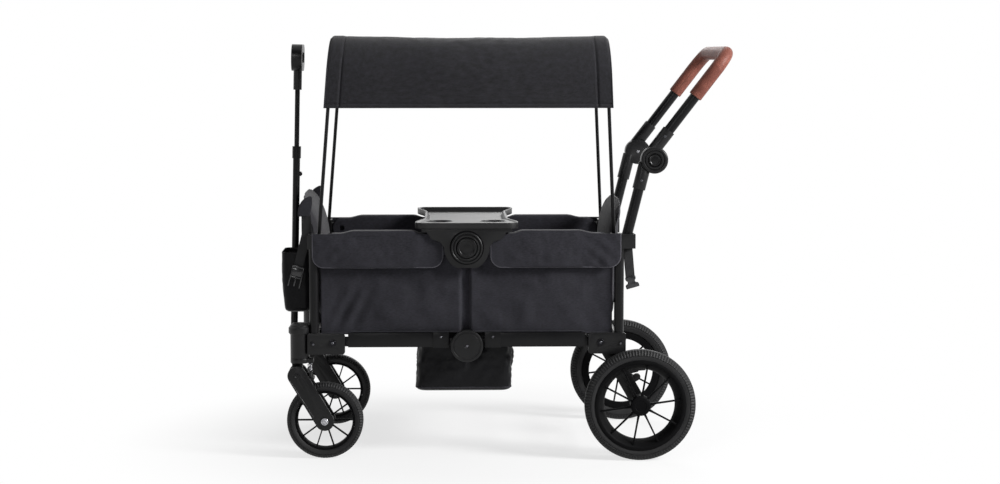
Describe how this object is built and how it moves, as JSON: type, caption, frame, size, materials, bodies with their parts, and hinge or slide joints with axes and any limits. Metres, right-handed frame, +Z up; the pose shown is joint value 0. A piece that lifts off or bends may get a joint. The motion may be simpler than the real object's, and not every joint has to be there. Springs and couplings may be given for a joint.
{
  "type": "stroller wagon",
  "caption": "Folding stroller wagon with canopy, snack tray, sprung front casters, large rear wheels, tilting push handle and telescoping pull handle.",
  "frame": {"origin": "on the ground, midway along the wagon's length and width", "axes": "+X towards the push handle, +Y towards the wagon's right side, +Z up"},
  "size_m": [1.2104, 0.662, 1.126],
  "materials": {
    "tube_black": "black powder coat",
    "moulded_black": "fine grain",
    "rim_black": "satin",
    "tyre_black": "matt foam rubber",
    "steel": "zinc plated",
    "cloth_black": "heathered weave",
    "seat_grey": "fine weave",
    "webbing_black": "webbing",
    "grip_leather": "stitched leatherette",
    "tray_grey": "fine grain"
  },
  "bodies": {
    "rear_frame": {"rear_frame_tubes": "tube_black", "rear_corner_brackets": "moulded_black", "rear_wheel_arms": "moulded_black", "rear_axle": "steel", "rear_fasteners": "steel", "rear_top_brackets": "moulded_black", "handle_lower_tubes": "tube_black", "handle_hub_lowers": "moulded_black", "rear_seat_back": "seat_grey", "rear_straps": "webbing_black", "rear_hoop": "tube_black", "canopy_cover": "cloth_black", "side_walls": "cloth_black"},
    "rear_lower_rails": {"rear_lower_rails": "tube_black", "rear_floor_board": "cloth_black", "lower_hubs": "moulded_black"},
    "front_lower_rails": {"front_lower_rails": "tube_black", "front_floor_board": "cloth_black"},
    "front_frame": {"front_frame_tubes": "tube_black", "front_corner_brackets": "moulded_black", "front_fasteners": "steel", "front_top_brackets": "moulded_black", "front_seat_back": "seat_grey", "front_straps": "webbing_black", "front_hoop": "tube_black", "front_pouch": "cloth_black"},
    "rear_upper_rails": {"rear_upper_rails": "tube_black", "rear_side_flaps": "cloth_black"},
    "upper_hubs": {"upper_hubs": "moulded_black", "tray": "tray_grey", "footwell": "cloth_black"},
    "front_upper_rails": {"front_upper_rails": "tube_black", "front_side_flaps": "cloth_black"},
    "push_handle": {"handle_upper_tube": "tube_black", "handle_grip": "grip_leather", "handle_hub_uppers": "moulded_black"},
    "brake_pedal": {"brake_pedal": "moulded_black"},
    "pull_handle": {"pull_outer_tube": "tube_black"},
    "pull_inner": {"pull_inner_tube": "tube_black", "pull_grip": "moulded_black"},
    "pull_lock_button": {"pull_lock_button": "moulded_black"},
    "hub_button_left": {"hub_button_left": "moulded_black"},
    "handle_button_left": {"handle_button_left": "moulded_black"},
    "caster_swivel_left": {"caster_swivel_left": "moulded_black", "caster_spring_left": "steel"},
    "caster_arm_left": {"caster_arm_left": "moulded_black"},
    "front_wheel_left": {"front_rim_left": "rim_black", "front_tyre_left": "tyre_black"},
    "rear_wheel_left": {"rear_rim_left": "rim_black", "rear_tyre_left": "tyre_black"},
    "hub_button_right": {"hub_button_right": "moulded_black"},
    "handle_button_right": {"handle_button_right": "moulded_black"},
    "caster_swivel_right": {"caster_swivel_right": "moulded_black", "caster_spring_right": "steel"},
    "caster_arm_right": {"caster_arm_right": "moulded_black"},
    "front_wheel_right": {"front_rim_right": "rim_black", "front_tyre_right": "tyre_black"},
    "rear_wheel_right": {"rear_rim_right": "rim_black", "rear_tyre_right": "tyre_black"}
  },
  "joints": [
    {"name": "fold", "type": "hinge", "parent": "rear_frame", "child": "rear_lower_rails", "pos_m": [0.24978, 0, 0.312], "axis": [0, 1, 0], "range_deg": [0, 52], "deforming": ["side_walls", "canopy_cover"]},
    {"name": "fold_front_lower", "type": "hinge", "parent": "rear_lower_rails", "child": "front_lower_rails", "pos_m": [-0.10722, 0, 0.304], "axis": [0, 1, 0], "range_deg": [-104, 0]},
    {"name": "fold_front_frame", "type": "hinge", "parent": "front_lower_rails", "child": "front_frame", "pos_m": [-0.46422, 0, 0.312], "axis": [0, 1, 0], "range_deg": [0, 52]},
    {"name": "fold_rear_upper", "type": "hinge", "parent": "rear_frame", "child": "rear_upper_rails", "pos_m": [0.24978, 0, 0.575], "axis": [0, 1, 0], "range_deg": [0, 52]},
    {"name": "fold_hub_level", "type": "hinge", "parent": "rear_upper_rails", "child": "upper_hubs", "pos_m": [-0.10722, 0, 0.567], "axis": [0, 1, 0], "range_deg": [-52, 0], "deforming": ["footwell"]},
    {"name": "fold_front_upper", "type": "hinge", "parent": "upper_hubs", "child": "front_upper_rails", "pos_m": [-0.10722, 0, 0.567], "axis": [0, 1, 0], "range_deg": [-52, 0]},
    {"name": "handle_tilt", "type": "hinge", "parent": "rear_frame", "child": "push_handle", "pos_m": [0.39289, 0, 0.796], "axis": [0, 1, 0], "range_deg": [-40, 75]},
    {"name": "brake", "type": "hinge", "parent": "rear_frame", "child": "brake_pedal", "pos_m": [0.32638, 0, 0.1936], "axis": [0, 1, 0], "range_deg": [0, 22]},
    {"name": "pull_swing", "type": "hinge", "parent": "front_frame", "child": "pull_handle", "pos_m": [-0.58622, 0, 0.31], "axis": [0, 1, 0], "range_deg": [-80, 0]},
    {"name": "pull_telescope", "type": "slide", "parent": "pull_handle", "child": "pull_inner", "axis": [0.0227, 0, 0.9997], "range_m": [-0.15, 0]},
    {"name": "pull_lock", "type": "slide", "parent": "pull_handle", "child": "pull_lock_button", "axis": [-0.9997, 0, 0.0227], "range_m": [0, 0.003], "stiffness_N_per_m": 400, "springref_m": -0.003},
    {"name": "hub_press_left", "type": "slide", "parent": "upper_hubs", "child": "hub_button_left", "axis": [0, 1, 0], "range_m": [0, 0.004], "stiffness_N_per_m": 600, "springref_m": -0.004},
    {"name": "handle_press_left", "type": "slide", "parent": "push_handle", "child": "handle_button_left", "axis": [0, 1, 0], "range_m": [0, 0.004], "stiffness_N_per_m": 600, "springref_m": -0.004},
    {"name": "swivel_left", "type": "hinge", "parent": "front_frame", "child": "caster_swivel_left", "pos_m": [-0.55222, -0.252, 0.31], "axis": [0, 0, 1], "continuous": true},
    {"name": "suspension_left", "type": "hinge", "parent": "caster_swivel_left", "child": "caster_arm_left", "pos_m": [-0.55922, -0.252, 0.225], "axis": [0, 1, 0], "range_deg": [-8, 0], "stiffness_Nm_per_rad": 30, "springref_deg": 20.05, "deforming": ["caster_spring_left"]},
    {"name": "front_wheel_spin_left", "type": "hinge", "parent": "caster_arm_left", "child": "front_wheel_left", "pos_m": [-0.48622, -0.252, 0.102], "axis": [0, 1, 0], "continuous": true},
    {"name": "rear_wheel_spin_left", "type": "hinge", "parent": "rear_frame", "child": "rear_wheel_left", "pos_m": [0.35278, -0.303, 0.148], "axis": [0, 1, 0], "continuous": true},
    {"name": "hub_press_right", "type": "slide", "parent": "upper_hubs", "child": "hub_button_right", "axis": [0, -1, 0], "range_m": [0, 0.004], "stiffness_N_per_m": 600, "springref_m": -0.004},
    {"name": "handle_press_right", "type": "slide", "parent": "push_handle", "child": "handle_button_right", "axis": [0, -1, 0], "range_m": [0, 0.004], "stiffness_N_per_m": 600, "springref_m": -0.004},
    {"name": "swivel_right", "type": "hinge", "parent": "front_frame", "child": "caster_swivel_right", "pos_m": [-0.55222, 0.252, 0.31], "axis": [0, 0, 1], "continuous": true},
    {"name": "suspension_right", "type": "hinge", "parent": "caster_swivel_right", "child": "caster_arm_right", "pos_m": [-0.55922, 0.252, 0.225], "axis": [0, 1, 0], "range_deg": [-8, 0], "stiffness_Nm_per_rad": 30, "springref_deg": 20.05, "deforming": ["caster_spring_right"]},
    {"name": "front_wheel_spin_right", "type": "hinge", "parent": "caster_arm_right", "child": "front_wheel_right", "pos_m": [-0.48622, 0.252, 0.102], "axis": [0, 1, 0], "continuous": true},
    {"name": "rear_wheel_spin_right", "type": "hinge", "parent": "rear_frame", "child": "rear_wheel_right", "pos_m": [0.35278, 0.303, 0.148], "axis": [0, 1, 0], "continuous": true}
  ],
  "couplings": [
    {"joint": "fold_front_lower", "follows": "fold", "ratio": -2},
    {"joint": "fold_front_frame", "follows": "fold", "ratio": 1},
    {"joint": "fold_rear_upper", "follows": "fold", "ratio": 1},
    {"joint": "fold_hub_level", "follows": "fold", "ratio": -1},
    {"joint": "fold_front_upper", "follows": "fold", "ratio": -1}
  ]
}
